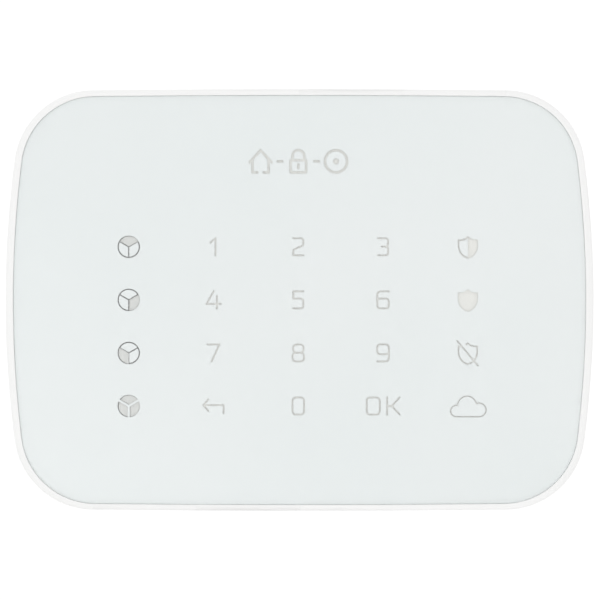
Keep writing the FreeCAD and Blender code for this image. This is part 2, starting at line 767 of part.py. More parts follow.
def light_guides():
    pocket_floor = GROUP_DIFFUSER_FRONT_Y + GROUP_DIFFUSER_THICKNESS
    back = BOARD_FRONT_Y - GUIDE_GAP
    lamp_places = [(x, z) for x in COLUMN_X for z in ROW_Z]
    lamp_places += [(x, MARK_Z) for x in MARK_LAMP_X]
    lamp_pockets = [
        plate(x, z, LAMP_POCKET_WIDTH, LAMP_POCKET_HEIGHT, back - LAMP_POCKET_DEPTH, back + 1)
        for x, z in lamp_places
    ]
    guides = []
    for block in light_cells(-GUIDE_GAP, GRID_FRONT_Y + LAYER_GAP, back):
        deep = block.BoundBox.XMax < COLUMN_X[0] + CELL_WIDTH
        if deep:
            clear_of = group_column_block(GROUP_POCKET_WIDTH, FRONT_Y, pocket_floor + LAYER_GAP)
            block = block.cut(clear_of)
        guides.append(block.cut(lamp_pockets))
    return Part.makeCompound(guides)


# ---- circuit board and what it carries ----------------------------------------------------------

def main_board():
    board = OUTER.inset(BOARD_INSET).solid(BOARD_FRONT_Y, BOARD_BACK_Y)
    front = BOARD_FRONT_Y - 1
    back = BOARD_BACK_Y + 1
    cuts = corner_blocks(front, back)
    cuts += [rod(x, z, BOARD_SCREW_RADIUS + 0.15, front, back) for x, z in BOSS_PLACES]
    cuts += [rod(x, PIN_Z, PIN_TIP_RADIUS + 0.1, front, back) for x in (-PIN_X, PIN_X)]
    return board.cut(cuts)


def touch_pads():
    """A copper frame round each key's lamps, on the board's front."""
    front = BOARD_FRONT_Y - PAD_THICKNESS
    hole_width = LAMP_POCKET_WIDTH - 0.2
    hole_height = LAMP_POCKET_HEIGHT - 0.2
    pads = []
    for x in COLUMN_X:
        for z in ROW_Z:
            outer = plate(x, z, PAD_WIDTH, PAD_HEIGHT, front, BOARD_FRONT_Y)
            pads.append(outer.cut(plate(x, z, hole_width, hole_height, front - 1, BOARD_FRONT_Y + 1)))
    return Part.makeCompound(pads)


def lamp(x, z):
    """A small surface-mount lamp: a base with a narrower clear body on it."""
    step = BOARD_FRONT_Y - LAMP_BASE_HEIGHT
    base = plate(x, z, LAMP_LENGTH, LAMP_WIDTH, step, BOARD_FRONT_Y)
    body = plate(x, z, LAMP_BODY_LENGTH, LAMP_WIDTH, BOARD_FRONT_Y - LAMP_HEIGHT, step)
    return join([base, body])


def key_leds():
    return Part.makeCompound([lamp(x, z) for x in COLUMN_X[1:] for z in ROW_Z])


def group_leds():
    """Two lamps behind each area key, for its two colours."""
    apart = LAMP_LENGTH + 0.5
    places = [(COLUMN_X[0] + side * apart / 2, z) for z in ROW_Z for side in (-1, 1)]
    return Part.makeCompound([lamp(x, z) for x, z in places])


def status_leds():
    return Part.makeCompound([lamp(x, MARK_Z) for x in MARK_LAMP_X])


def chip(x, z, size, height, leads_per_side, pitch):
    """A square chip on the board's back with flat leads along its four sides."""
    top = BOARD_BACK_Y + height
    body = plate(x, z, size, size, BOARD_BACK_Y + 0.1, top)
    body = body.makeChamfer(0.15, edges_at(body, top))
    leads = []
    for index in range(leads_per_side):
        offset = (index - (leads_per_side - 1) / 2) * pitch
        reach = size + 1.6
        leads.append(plate(x + offset, z, 0.25, reach, BOARD_BACK_Y, BOARD_BACK_Y + 0.2))
        leads.append(plate(x, z + offset, reach, 0.25, BOARD_BACK_Y, BOARD_BACK_Y + 0.2))
    return join([body] + leads)


def touch_controller():
    return chip(*TOUCH_CHIP, 6.0, 1.1, 8, 0.6)


def control_chip():
    return chip(*CONTROL_CHIP, 7.0, 1.2, 10, 0.6)


def radio_module():
    """A small board of its own, soldered to the main board by half-round edge contacts."""
    x, middle_z = RADIO
    width = 15.0
    top = BOARD_BACK_Y + RADIO_BOARD_THICKNESS
    module = plate(x, middle_z, width, 12.0, BOARD_BACK_Y, top)
    notches = []
    for index in range(8):
        z = middle_z + (index - 3.5) * 1.3
        for side in (-1, 1):
            notches.append(rod(x + side * width / 2, z, 0.35, BOARD_BACK_Y - 1, top + 1))
    return module.cut(notches)


def radio_shield():
    """A thin folded can over the radio, open towards its board."""
    width = 11.5
    height = 9.0
    low = BOARD_BACK_Y + RADIO_BOARD_THICKNESS
    top = low + RADIO_SHIELD_HEIGHT
    inset = 2 * RADIO_SHIELD_WALL
    outer = plate(*RADIO, width, height, low, top)
    outer = outer.makeFillet(0.4, edges_at(outer, top))
    return outer.cut(plate(*RADIO, width - inset, height - inset, low - 1, top - RADIO_SHIELD_WALL))


def antenna_coil():
    """The outer shape of the wound antenna: a tube along X with a foot at each end."""
    y = BOARD_BACK_Y + 2.6
    wire = ANTENNA_OUTER_RADIUS - ANTENNA_INNER_RADIUS
    coil = rod_along_x(ANTENNA_LOW_X, ANTENNA_HIGH_X, y, ANTENNA_Z, ANTENNA_OUTER_RADIUS)
    coil = coil.cut(rod_along_x(ANTENNA_LOW_X - 1, ANTENNA_HIGH_X + 1, y, ANTENNA_Z, ANTENNA_INNER_RADIUS))
    foot_z = ANTENNA_Z - ANTENNA_OUTER_RADIUS + wire / 2
    feet = [
        plate(x, foot_z, wire, wire, BOARD_BACK_Y, y + 0.2)
        for x in (ANTENNA_LOW_X + wire / 2, ANTENNA_HIGH_X - wire / 2)
    ]
    return join([coil] + feet)


def crystal():
    top = BOARD_BACK_Y + 0.8
    can = plate(*CRYSTAL, 3.2, 2.5, BOARD_BACK_Y, top)
    return can.makeFillet(0.25, edges_at(can, top))


def regulator():
    """A three-legged package with a wide heat tab."""
    x, z = REGULATOR
    body = plate(x, z, 6.5, 3.5, BOARD_BACK_Y + 0.05, BOARD_BACK_Y + 1.65)
    leg_x = [x - 2.3, x, x + 2.3]
    legs = [plate(middle, z - 2.4, 0.7, 1.8, BOARD_BACK_Y, BOARD_BACK_Y + 0.3) for middle in leg_x]
    tab = plate(x, z + 2.4, 3.0, 1.8, BOARD_BACK_Y, BOARD_BACK_Y + 0.3)
    return join([body, tab] + legs)


def chip_part(x, z, length, width, height, upright):
    """A two-ended chip part: a block with a slightly larger metal cap at each end."""
    across = width + 0.06
    cap = length * 0.2
    body = plate(x, z, length, width, BOARD_BACK_Y, BOARD_BACK_Y + height)
    ends = [
        plate(x + side * (length - cap) / 2, z, cap, across, BOARD_BACK_Y, BOARD_BACK_Y + height + 0.03)
        for side in (-1, 1)
    ]
    part = join([body] + ends)
    if upright:
        part.rotate(Vector(x, 0, z), BACK_NORMAL, 90)
    return part


def chip_parts(places, length, width, height):
    """Chip parts at the places, every second one turned upright."""
    return Part.makeCompound([
        chip_part(x, z, length, width, height, index % 2) for index, (x, z) in enumerate(places)
    ])


def capacitors():
    row = [(-44.0 + 4.0 * index, -34.5 - 3.0 * (index % 2)) for index in range(2)]
    places = row + [(-24.0 + 4.0 * index, -36.0) for index in range(4)]
    places += [(33.0, 12.0 + 3.5 * index) for index in range(4)]
    places += [(56.0, -6.0 + 4.0 * index) for index in range(4)]
    return chip_parts(places, 2.0, 1.25, 1.2)


def resistors():
    places = [(-56.0, -10.0 + 3.0 * index) for index in range(7)]
    places += [(12.0 + 3.2 * index, 30.0) for index in range(6)]
    places += [(10.0 + 3.2 * index, -30.0) for index in range(5)]
    return chip_parts(places, 1.6, 0.8, 0.45)


def buzzer():
    """A round sounder with a small mouth in its lid."""
    x, z = BUZZER
    top = BOARD_BACK_Y + BUZZER_HEIGHT
    can = rod(x, z, BUZZER_RADIUS, BOARD_BACK_Y + 0.1, top)
    can = can.makeFillet(0.5, edges_at(can, top))
    can = can.cut(rod(x, z, 1.0, top - 1.5, top + 1))
    pins = [rod(x + side * 3.2, z, 0.35, BOARD_BACK_Y, BOARD_BACK_Y + 0.2) for side in (-1, 1)]
    return join([can] + pins)


def push_switch(x, z, body_height, top_height, knob_radius):
    """A square push switch on the board's back."""
    body = plate(x, z, SWITCH_SIZE, SWITCH_SIZE, BOARD_BACK_Y, BOARD_BACK_Y + body_height)
    knob = rod(x, z, knob_radius, BOARD_BACK_Y + body_height, BOARD_BACK_Y + top_height)
    return join([body, knob])


def tamper_switch():
    return push_switch(TAMPER_X, TAMPER_Z, TAMPER_SWITCH_HEIGHT, TAMPER_SWITCH_HEIGHT + 0.4, 0.9)


def power_switch():
    return push_switch(BUTTON_X, BUTTON_Z, 3.5, 4.0, 1.7)


def screw(x, z, seat_y, head_radius, head_height, shank_radius, length):
    """A pan-head screw driven from the back, with a cross recess."""
    head = rod(x, z, head_radius, seat_y, seat_y + head_height)
    head = head.makeFillet(head_height * 0.45, edges_at(head, seat_y + head_height))
    shank = rod(x, z, shank_radius, seat_y - length + shank_radius, seat_y)
    tip = Part.makeCone(
        shank_radius, 0.2, shank_radius, Vector(x, seat_y - length + shank_radius, z), Vector(0, -1, 0)
    )
    body = join([head, shank, tip])
    slot = head_radius * 1.1
    top = seat_y + head_height
    recess = [
        plate(x, z, slot, head_radius * 0.28, top - head_height * 0.55, top + 1),
        plate(x, z, head_radius * 0.28, slot, top - head_height * 0.55, top + 1),
    ]
    return body.cut(recess)


def board_screws():
    return Part.makeCompound([
        screw(
            x,
            z,
            BOARD_BACK_Y,
            BOARD_SCREW_HEAD_RADIUS,
            BOARD_SCREW_HEAD_HEIGHT,
            BOARD_SCREW_RADIUS,
            BOARD_SCREW_LENGTH,
        )
        for x, z in BOSS_PLACES
    ])


def housing_screws():
    return Part.makeCompound([
        screw(
            sign_x * TOWER_X,
            sign_z * TOWER_Z,
            HOUSING_SCREW_SEAT_Y,
            HOUSING_SCREW_HEAD_RADIUS,
            HOUSING_SCREW_HEAD_HEIGHT,
            HOUSING_SCREW_RADIUS,
            HOUSING_SCREW_LENGTH,
        )
        for sign_x, sign_z in FOUR_CORNERS
    ])


# ---- batteries ----------------------------------------------------------------------------------

def cell_z(index):
    """The height of a cell's axis; index 0 is the top cell."""
    return (1.5 - index) * CELL_PITCH


def positive_side(index):
    """+1 where the cell's positive end points along +X; the cells alternate."""
    return 1 if index % 2 == 0 else -1


def battery_cell(index):
    """A steel can with its positive nub; it touches the contact plate at its positive end."""
    side = positive_side(index)
    plate_face = BAY_HALF_WIDTH - CONTACT_CLEARANCE - CONTACT_THICKNESS
    nub_end = plate_face
    can_end = nub_end - CELL_NUB_LENGTH
    z = cell_z(index)
    can = rod_along_x(nub_end - CELL_LENGTH, can_end, CELL_CENTRE_Y, z, CELL_RADIUS - SLEEVE_THICKNESS)
    ends = [edge for edge in can.Edges if edge.BoundBox.XLength < 1e-4]
    can = can.makeFillet(0.6, ends)
    nub = rod_along_x(can_end - 0.5, nub_end, CELL_CENTRE_Y, z, CELL_NUB_RADIUS)
    cell = join([can, nub])
    if side < 0:
        cell.rotate(Vector(0, 0, z), Vector(0, 0, 1), 180)
        cell.translate(Vector(0, 2 * CELL_CENTRE_Y, 0))
    return cell


def battery_sleeves():
    """The thin printed wrap of each cell."""
    sleeves = []
    for index in range(4):
        side = positive_side(index)
        plate_face = BAY_HALF_WIDTH - CONTACT_CLEARANCE - CONTACT_THICKNESS
        near = side * (plate_face - CELL_NUB_LENGTH - 1.2)
        far = side * (plate_face - CELL_LENGTH + 1.2)
        low, high = sorted((near, far))
        z = cell_z(index)
        outer = rod_along_x(low, high, CELL_CENTRE_Y, z, CELL_RADIUS)
        inner = rod_along_x(low - 1, high + 1, CELL_CENTRE_Y, z, CELL_RADIUS - SLEEVE_THICKNESS)
        sleeves.append(outer.cut(inner))
    return Part.makeCompound(sleeves)


def contact(side, top_cell, bottom_cell, with_tab):
    """A contact plate at one end of the bay, over one cell or bridging two."""
    centre_x = side * (BAY_HALF_WIDTH - CONTACT_CLEARANCE - CONTACT_THICKNESS / 2)
    middle = (cell_z(top_cell) + cell_z(bottom_cell)) / 2
    height = cell_z(top_cell) - cell_z(bottom_cell) + CONTACT_HEIGHT
    sheet = plate(centre_x, middle, CONTACT_THICKNESS, height, CELL_CENTRE_Y - 4, CELL_CENTRE_Y + 4)
    if not with_tab:
        return sheet
    tab = plate(centre_x, middle, CONTACT_THICKNESS, 3.0, BOARD_BACK_Y, CELL_CENTRE_Y - 4)
    return join([sheet, tab])


def battery_contacts():
    return Part.makeCompound([
        contact(-1, 0, 0, True),
        contact(-1, 1, 2, False),
        contact(-1, 3, 3, True),
        contact(1, 0, 1, False),
        contact(1, 2, 3, False),
    ])


def battery_springs():
    """The outer shape of each coil spring, a hollow cone from its plate to a cell's flat end."""
    springs = []
    for index in range(4):
        side = -positive_side(index)
        root = BAY_HALF_WIDTH - CONTACT_CLEARANCE - CONTACT_THICKNESS
        length = 2 * root - CELL_LENGTH
        base = Vector(side * root, CELL_CENTRE_Y, cell_z(index))
        towards_cell = Vector(-side, 0, 0)
        outer = Part.makeCone(3.6, 2.3, length, base, towards_cell)
        inner = Part.makeCone(3.0, 1.7, length, base, towards_cell)
        springs.append(outer.cut(inner))
    return Part.makeCompound(springs)


# ---- back shell, bracket and moving pieces ------------------------------------------------------

def battery_bay():
    """The bay's block, which stands in from the back shell's inside; its pocket is cut later."""
    width = 2 * (BAY_HALF_WIDTH + BAY_WALL)
    height = 2 * (BAY_HALF_HEIGHT + BAY_WALL)
    return plate(0, 0, width, height, BAY_FRONT_Y, BACK_WALL_INNER_Y)


def hook_slot(sign_x, base_z):
    """The hole that a hook passes through, tall enough to lift the device off it."""
    top = base_z + HOOK_NECK_HEIGHT + LAYER_GAP
    bottom = base_z - SLIDE_TRAVEL - HOOK_PLAY
    middle = (top + bottom) / 2
    width = HOOK_WIDTH + 2 * HOOK_PLAY
    return plate(sign_x * HOOK_X, middle, width, top - bottom, BACK_WALL_INNER_Y - 1, POCKET_FLOOR_Y + 1)


def sounder_slots():
    """Five short slots through the bottom edge, below the sounder."""
    return [
        plate(BUZZER[0] + (index - 2) * SOUNDER_SLOT_PITCH, -HALF_HEIGHT, 1.2, 8.0, -8.2, -5.4)
        for index in range(5)
    ]


def rear_housing():
    seam = SEAM_Y + SEAM_GAP / 2
    shell = OUTER.solid(seam, BACK_Y)
    shell = shell.makeFillet(BACK_EDGE_RADIUS, edges_at(shell, BACK_Y))
    hollow = CAVITY.solid(seam, BACK_WALL_INNER_Y)
    hollow = hollow.makeChamfer(1.8, edges_at(hollow, BACK_WALL_INNER_Y))
    shell = shell.cut(hollow)
    shell = shell.cut(OUTER.inset(POCKET_INSET).solid(POCKET_FLOOR_Y, BACK_Y + 1))
    lip_outer = OUTER.inset(WALL + LIP_GAP)
    lip = lip_outer.solid(seam - LIP_DEPTH, seam + 1.5)
    lip = lip.cut(lip_outer.inset(LIP_THICKNESS).solid(seam - LIP_DEPTH - 1, seam + 3))
    root_ring = OUTER.inset(WALL - 0.5).solid(seam, seam + 1.5)
    root_ring = root_ring.cut(lip_outer.inset(LIP_THICKNESS).solid(seam - 1, seam + 3))
    columns = at_towers(COLUMN_RADIUS, TOWER_BACK_Y + LAYER_GAP, BACK_WALL_INNER_Y)
    guides = [
        rod(TAMPER_X, TAMPER_Z, TAMPER_FLANGE_RADIUS + 1.0, -8.6, BACK_WALL_INNER_Y),
        rod(BUTTON_X, BUTTON_Z, BUTTON_FLANGE_RADIUS + 1.1, -7.0, BACK_WALL_INNER_Y),
    ]
    shell = join([shell, lip, root_ring, battery_bay()] + columns + guides)
    cuts = [plate(0, 0, 2 * BAY_HALF_WIDTH, 2 * BAY_HALF_HEIGHT, BAY_FRONT_Y + BAY_WALL, BACK_Y + 1)]
    cuts += at_towers(HOUSING_SCREW_RADIUS + 0.45, TOWER_BACK_Y - 1, 0)
    cuts += at_towers(HOUSING_SCREW_HEAD_RADIUS + 0.4, HOUSING_SCREW_SEAT_Y, 0)
    for base_z in HOOK_BASE_Z:
        cuts += [hook_slot(sign_x, base_z) for sign_x in (-1, 1)]
    cuts.append(rod(TAMPER_X, TAMPER_Z, TAMPER_PIN_RADIUS + 0.2, -9, 0))
    cuts.append(rod(TAMPER_X, TAMPER_Z, TAMPER_FLANGE_RADIUS + 0.2, -9, BACK_WALL_INNER_Y))
    cuts.append(rod(BUTTON_X, BUTTON_Z, BUTTON_RADIUS + 0.2, -8, 0))
    cuts.append(rod(BUTTON_X, BUTTON_Z, BUTTON_FLANGE_RADIUS + 0.2, -8, BACK_WALL_INNER_Y))
    for index in (0, 3):
        x = -(BAY_HALF_WIDTH - CONTACT_CLEARANCE - CONTACT_THICKNESS / 2)
        cuts.append(plate(x, cell_z(index), 0.9, 3.6, BAY_FRONT_Y - 1, BAY_FRONT_Y + BAY_WALL + 1))
    return shell.cut(cuts + sounder_slots())


def bracket_reliefs():
    """Shallow pockets in the bracket's wall side, with ribs left between them."""
    half_width = RELIEF_WIDTH / 2
    half_height = RELIEF_HEIGHT / 2
    corners = [
        (sign_x * half_width, sign_z * half_height)
        for sign_x, sign_z in FOUR_CORNERS
    ]
    pocket = prism(rounded_wire(corners, [RELIEF_CORNER] * 4, -RELIEF_DEPTH, closed=True), 1)
    return [
        pocket.translated(Vector(x, 0, BRACKET_CENTRE_Z + row * RELIEF_ROW_PITCH))
        for x in RELIEF_X
        for row in (-1, 0, 1)
    ]


def wall_bracket():
    outline = Outline(
        BRACKET_HALF_WIDTH, BRACKET_HALF_HEIGHT, BRACKET_CORNER_RADIUS, SIDE_BULGE_RADIUS, TOP_BULGE_RADIUS
    )
    sheet = outline.solid(-BRACKET_THICKNESS, 0).translated(Vector(0, 0, BRACKET_CENTRE_Z))
    sheet = sheet.makeChamfer(0.4, edges_at(sheet, -BRACKET_THICKNESS))
    hooks = []
    tongue_back = BACK_WALL_INNER_Y - HOOK_PLAY
    tongue_front = tongue_back - HOOK_TONGUE_THICKNESS
    for base_z in HOOK_BASE_Z:
        for sign_x in (-1, 1):
            x = sign_x * HOOK_X
            neck_middle = base_z + HOOK_NECK_HEIGHT / 2
            neck = plate(x, neck_middle, HOOK_WIDTH, HOOK_NECK_HEIGHT, tongue_front, -BRACKET_THICKNESS)
            height = HOOK_NECK_HEIGHT + HOOK_TONGUE_HEIGHT
            tongue = plate(x, base_z + height / 2, HOOK_WIDTH, height, tongue_front, tongue_back)
            hooks += [neck, tongue]
    bracket = join([sheet] + hooks)
    cuts = bracket_reliefs()
    for sign_x, sign_z in FOUR_CORNERS:
        x = sign_x * BRACKET_HOLE_SPACING_X / 2
        z = BRACKET_CENTRE_Z + sign_z * BRACKET_HOLE_SPACING_Z / 2
        cuts.append(rod(x, z, BRACKET_HOLE_RADIUS, -BRACKET_THICKNESS - 1, 1))
        mouth = Vector(x, -BRACKET_THICKNESS, z)
        cuts.append(Part.makeCone(
            COUNTERSINK_RADIUS, BRACKET_HOLE_RADIUS, COUNTERSINK_DEPTH, mouth, BACK_NORMAL
        ))
    slot_low = TAMPER_Z - 0.3
    slot_high = TAMPER_Z + SLIDE_TRAVEL + 0.3
    slot_middle = (slot_low + slot_high) / 2
    cuts.append(plate(
        TAMPER_X, slot_middle, 2 * TAMPER_SLOT_HALF_WIDTH, slot_high - slot_low, -BRACKET_THICKNESS - 1, 1
    ))
    cuts.append(rod(TAMPER_X, slot_low, TAMPER_SLOT_HALF_WIDTH, -BRACKET_THICKNESS - 1, 1))
    cuts.append(rod(TAMPER_X, slot_high, TAMPER_SLOT_HALF_WIDTH, -BRACKET_THICKNESS - 1, 1))
    return bracket.cut(cuts)


def tamper_plunger():
    """A pin whose tip touches the wall, with a flange that its spring pushes on."""
    pin = rod(TAMPER_X, TAMPER_Z, TAMPER_PIN_RADIUS, TAMPER_INNER_END_Y, 0)
    pin = pin.makeFillet(0.5, edges_at(pin, 0))
    flange_front = TAMPER_FLANGE_BACK_Y - TAMPER_FLANGE_THICKNESS
    return join([pin, rod(TAMPER_X, TAMPER_Z, TAMPER_FLANGE_RADIUS, flange_front, TAMPER_FLANGE_BACK_Y)])


def tamper_spring():
    """The outer shape of the coil spring between the pin's flange and the switch."""
    front = BOARD_BACK_Y + TAMPER_SWITCH_HEIGHT
    back = TAMPER_FLANGE_BACK_Y - TAMPER_FLANGE_THICKNESS
    return tube(TAMPER_X, TAMPER_Z, 2.35, 1.75, front, back)


def power_button():
    """A round button with a stop flange and a stem that reaches its switch."""
    flange_back = BACK_WALL_INNER_Y - LAYER_GAP
    cap = rod(BUTTON_X, BUTTON_Z, BUTTON_RADIUS, flange_back - 0.4, BUTTON_BACK_Y)
    cap = cap.makeFillet(0.4, edges_at(cap, BUTTON_BACK_Y))
    flange = rod(BUTTON_X, BUTTON_Z, BUTTON_FLANGE_RADIUS, flange_back - BUTTON_FLANGE_THICKNESS, flange_back)
    stem = rod(BUTTON_X, BUTTON_Z, BUTTON_STEM_RADIUS, BUTTON_INNER_END_Y, flange_back - 0.4)
    return join([cap, flange, stem])


# ---- output -------------------------------------------------------------------------------------

PIECES = {
    "front_housing": front_housing,
    "touch_lens": touch_lens,
    "legend_film": legend_film,
    "lens_adhesive": lens_adhesive,
    "key_diffuser": key_diffuser,
    "group_diffuser": group_diffuser,
    "light_frame": light_frame,
    "light_guides": light_guides,
    "main_board": main_board,
    "touch_pads": touch_pads,
    "key_leds": key_leds,
    "group_leds": group_leds,
    "status_leds": status_leds,
    "touch_controller": touch_controller,
    "control_chip": control_chip,
    "radio_module": radio_module,
    "radio_shield": radio_shield,
    "antenna_coil": antenna_coil,
    "crystal": crystal,
    "regulator": regulator,
    "capacitors": capacitors,
    "resistors": resistors,
    "buzzer": buzzer,
    "tamper_switch": tamper_switch,
    "power_switch": power_switch,
    "board_screws": board_screws,
    "housing_screws": housing_screws,
    "battery_sleeves": battery_sleeves,
    "battery_contacts": battery_contacts,
    "battery_springs": battery_springs,
    "rear_housing": rear_housing,
    "wall_bracket": wall_bracket,
    "tamper_plunger": tamper_plunger,
    "tamper_spring": tamper_spring,
    "power_button": power_button,
}


def write(name, shape):
    if not shape.isValid():
        print("not valid:", name)
    shape.exportStep(os.path.join("parts", name + ".step"))


os.makedirs("parts", exist_ok=True)
for name, make in PIECES.items():
    write(name, make())
for index in range(4):
    write("battery_cell_%d" % (index + 1), battery_cell(index))
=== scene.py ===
import json
import math

import bmesh
import bpy
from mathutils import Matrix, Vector


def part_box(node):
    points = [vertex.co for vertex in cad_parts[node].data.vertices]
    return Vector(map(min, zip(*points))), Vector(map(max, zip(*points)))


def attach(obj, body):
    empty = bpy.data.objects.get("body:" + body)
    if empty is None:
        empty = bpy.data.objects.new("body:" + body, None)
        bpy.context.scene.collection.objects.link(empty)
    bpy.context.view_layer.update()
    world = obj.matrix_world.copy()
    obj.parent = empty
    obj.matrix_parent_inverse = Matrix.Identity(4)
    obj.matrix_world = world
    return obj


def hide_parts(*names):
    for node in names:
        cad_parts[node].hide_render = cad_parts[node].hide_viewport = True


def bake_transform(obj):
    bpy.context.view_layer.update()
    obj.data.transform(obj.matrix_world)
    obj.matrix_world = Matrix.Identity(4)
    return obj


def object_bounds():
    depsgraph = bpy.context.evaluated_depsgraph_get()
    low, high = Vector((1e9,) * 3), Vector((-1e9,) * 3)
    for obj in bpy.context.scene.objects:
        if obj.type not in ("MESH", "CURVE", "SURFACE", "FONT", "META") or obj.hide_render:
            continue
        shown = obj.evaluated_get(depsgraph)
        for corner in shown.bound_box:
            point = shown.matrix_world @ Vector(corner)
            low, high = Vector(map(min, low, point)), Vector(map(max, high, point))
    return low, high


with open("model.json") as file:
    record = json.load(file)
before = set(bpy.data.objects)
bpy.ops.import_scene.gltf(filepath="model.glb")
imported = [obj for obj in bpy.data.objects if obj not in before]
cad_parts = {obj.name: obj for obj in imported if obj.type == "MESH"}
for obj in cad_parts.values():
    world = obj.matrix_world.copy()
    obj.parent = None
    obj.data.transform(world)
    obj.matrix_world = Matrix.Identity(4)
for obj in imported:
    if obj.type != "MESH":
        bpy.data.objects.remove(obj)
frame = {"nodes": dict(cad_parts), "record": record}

CAD_BOX = [list(corner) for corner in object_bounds()]
NODES = frame["nodes"]
MM = 0.001
LOW = Vector(CAD_BOX[0])
HIGH = Vector(CAD_BOX[1])

# Circuit boards: patches of parallel traces
TRACE_REGION = 9.0 * MM
TRACE_PITCH = 0.8 * MM
TRACE_EDGE_START = 0.72
TRACE_EDGE_END = 0.84
WAVE_PERIOD_AT_SCALE_1 = math.tau / 20

# Clear plate: its reflection straight on, and how steeply it rises towards the edge of view
PLATE_REFLECTION = 0.039
PLATE_REFLECTION_POWER = 5.0

# Coils: the share of a coil's length taken by the almost flat turns at each end
END_SHARE = 0.04
TAMPER_WIRE = 0.45 * MM
TAMPER_TURNS = 5.5
BATTERY_WIRE = 0.5 * MM
BATTERY_TURNS = 4.5
BATTERY_PLATE_RADIUS = 3.3 * MM
BATTERY_CELL_RADIUS = 2.0 * MM
BATTERY_CELLS = 4
ANTENNA_WIRE = 0.6 * MM
ANTENNA_TURNS = 17
ANTENNA_RADIUS = 1.85 * MM
ANTENNA_DEPTH = 2.2 * MM
ANTENNA_END_INSET = 0.35 * MM

# Moulding marks: ridges left by ejector pins and a date dial
RIDGE_WIDTH = 0.16 * MM
RIDGE_HEIGHT = 0.06 * MM
PIN_RING_RADIUS = 1.6 * MM
DIAL_RADII = (3.4 * MM, 1.5 * MM)
DIAL_TICKS = 12
TICK_INNER_RADIUS = 2.5 * MM
TICK_OUTER_RADIUS = 3.1 * MM
POINTER_LOW = -1.0 * MM
POINTER_HIGH = 1.1 * MM
POINTER_HEAD = 0.5 * MM
RELIEF_FLOOR = -0.7 * MM
POCKET_FLOOR = -2.6 * MM
BRACKET_MIDDLE_Z = 3.6 * MM
RELIEF_ROW = 22.0 * MM
RELIEF_COLUMN = 26.0 * MM
BRACKET_DIAL_X = 9.5 * MM
POCKET_PIN_Z = -36.6 * MM
POCKET_PIN_COLUMNS = (-30.0, -10.0, 10.0, 30.0)
POCKET_DIAL = (-43.0 * MM, -36.4 * MM)

# Surroundings: brightness against direction, from in front of the object (0) to behind it (1)
SURROUND_BRIGHTNESS = (
    (0.25, 0.952),
    (0.42, 1.01),
    (0.55, 1.01),
    (0.72, 0.86),
    (0.9, 0.86),
    (0.965, 1.06),
)
FRONT_BRIGHTNESS = 0.952
BEHIND_BRIGHTNESS = 1.06
CURVE_TOP = 1.2
GLOW_DIRECTION = Vector((-0.35, -0.9, -0.26)).normalized()
GLOW_START = 0.9
GLOW_STRENGTH = 0.8

# Soft lamps: place, size and watts
KEY_PLACE = (-1.1, -0.35, 0.08)
KEY_WATTS = 0.25
FILL_PLACE = (0.1, -0.28, -0.7)
FILL_WATTS = 0.45
LAMP_SIZE = (0.5, 0.5)

# Floor and camera; the frame is measured where the outline is widest, just behind the front
FLOOR_DROP = 0.8
FLOOR_HALF_SIZE = 2.4
FOCAL_LENGTH = 150.0
SENSOR_WIDTH = 36.0
WIDTH_IN_FRAME = 0.980
CAMERA_SHIFT_X = 0.0001
OUTLINE_BEHIND_FRONT = 0.0014


# ---- node helpers -------------------------------------------------------------------------------

class Recipe:
    """A material's node tree with short calls for its nodes and links."""

    def __init__(self, name):
        self.material = bpy.data.materials.new(name)
        self.material.use_nodes = True
        self.tree = self.material.node_tree
        self.tree.nodes.clear()
        self.output = self.tree.nodes.new("ShaderNodeOutputMaterial")
        self.place = self.add("ShaderNodeTexCoord").outputs["Object"]

    def add(self, kind, **settings):
        node = self.tree.nodes.new(kind)
        for key, value in settings.items():
            setattr(node, key, value)
        return node

    def link(self, source, target):
        self.tree.links.new(source, target)

    def noise(self, size, detail=3.0, rough=0.5, stretch=None):
        """Noise whose features are about size metres across; stretch scales it along each axis."""
        node = self.add("ShaderNodeTexNoise")
        node.inputs["Scale"].default_value = 1.0 / size
        node.inputs["Detail"].default_value = detail
        node.inputs["Roughness"].default_value = rough
        self.link(self.stretched(stretch), node.inputs["Vector"])
        return node.outputs["Fac"]

    def stretched(self, stretch):
        if stretch is None:
            return self.place
        mapping = self.add("ShaderNodeMapping")
        mapping.inputs["Scale"].default_value = stretch
        self.link(self.place, mapping.inputs["Vector"])
        return mapping.outputs["Vector"]

    def ramp(self, value, stops):
        """A colour ramp; stops are (position, colour) with the colour as three numbers."""
        node = self.add("ShaderNodeValToRGB")
        elements = node.color_ramp.elements
        while len(elements) < len(stops):
            elements.new(0.5)
        for element, (position, colour) in zip(elements, stops):
            element.position = position
            element.color = (*colour, 1.0)
        self.link(value, node.inputs["Fac"])
        return node.outputs["Color"]

    def spread(self, value, low, high):
        """Maps a value from 0..1 to low..high."""
        node = self.add("ShaderNodeMapRange")
        node.inputs["To Min"].default_value = low
        node.inputs["To Max"].default_value = high
        self.link(value, node.inputs["Value"])
        return node.outputs["Result"]

    def bump(self, height, distance):
        node = self.add("ShaderNodeBump")
        node.inputs["Distance"].default_value = distance
        node.inputs["Strength"].default_value = 1.0
        self.link(height, node.inputs["Height"])
        return node.outputs["Normal"]

    def principled(self, colour, rough, normal=None, metallic=0.0, **extra):
        """The main shader; colour is a socket, and rough is a socket or a plain value."""
        shader = self.add("ShaderNodeBsdfPrincipled")
        self.link(colour, shader.inputs["Base Color"])
        self.feed(rough, shader.inputs["Roughness"])
        shader.inputs["Metallic"].default_value = metallic
        for key, value in extra.items():
            shader.inputs[key.replace("_", " ")].default_value = value
        if normal is not None:
            self.link(normal, shader.inputs["Normal"])
        self.link(shader.outputs["BSDF"], self.output.inputs["Surface"])

    def feed(self, value, target):
        if hasattr(value, "links"):
            self.link(value, target)
        else:
            target.default_value = value


def shade(colour, factor):
    return tuple(min(1.0, channel * factor) for channel in colour)


